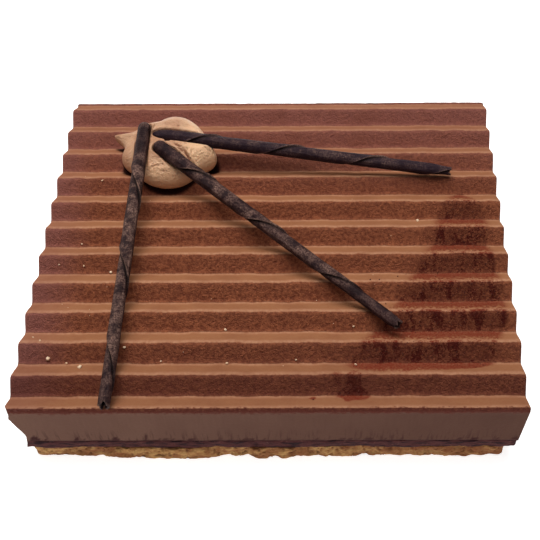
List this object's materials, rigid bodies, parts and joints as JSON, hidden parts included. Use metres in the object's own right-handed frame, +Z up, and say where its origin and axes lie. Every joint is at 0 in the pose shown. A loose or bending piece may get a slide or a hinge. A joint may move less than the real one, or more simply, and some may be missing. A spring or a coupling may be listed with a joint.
{
  "type": "trianon cake",
  "caption": "Rectangular layered mousse cake with a deeply ribbed velvet top, a soft dollop and rolled chocolate sticks, lying on a crumbly biscuit base.",
  "frame": {"origin": "centre of the underside of the cake, on the surface that it stands on", "axes": "+X along the ridges to the viewer's right, +Y from the cut front face to the back, +Z up"},
  "size_m": [0.2303, 0.1956, 0.0629],
  "materials": {
    "biscuit": "crumbly baked biscuit, matte, golden brown",
    "praline": "dark praline and chocolate, cut face, slightly moist",
    "velvet_mousse": "cocoa velvet coat, matte and fine grained",
    "praline_cream": "smooth tan cream with small bubbles",
    "dark_chocolate": "dark chocolate, satin with a dusty bloom"
  },
  "bodies": {
    "root": {"biscuit_base": "biscuit", "praline_layer": "praline", "mousse": "velvet_mousse", "dollop": "praline_cream", "chocolate_stick_left": "dark_chocolate", "chocolate_stick_middle": "dark_chocolate", "chocolate_stick_top": "dark_chocolate"}
  },
  "joints": []
}
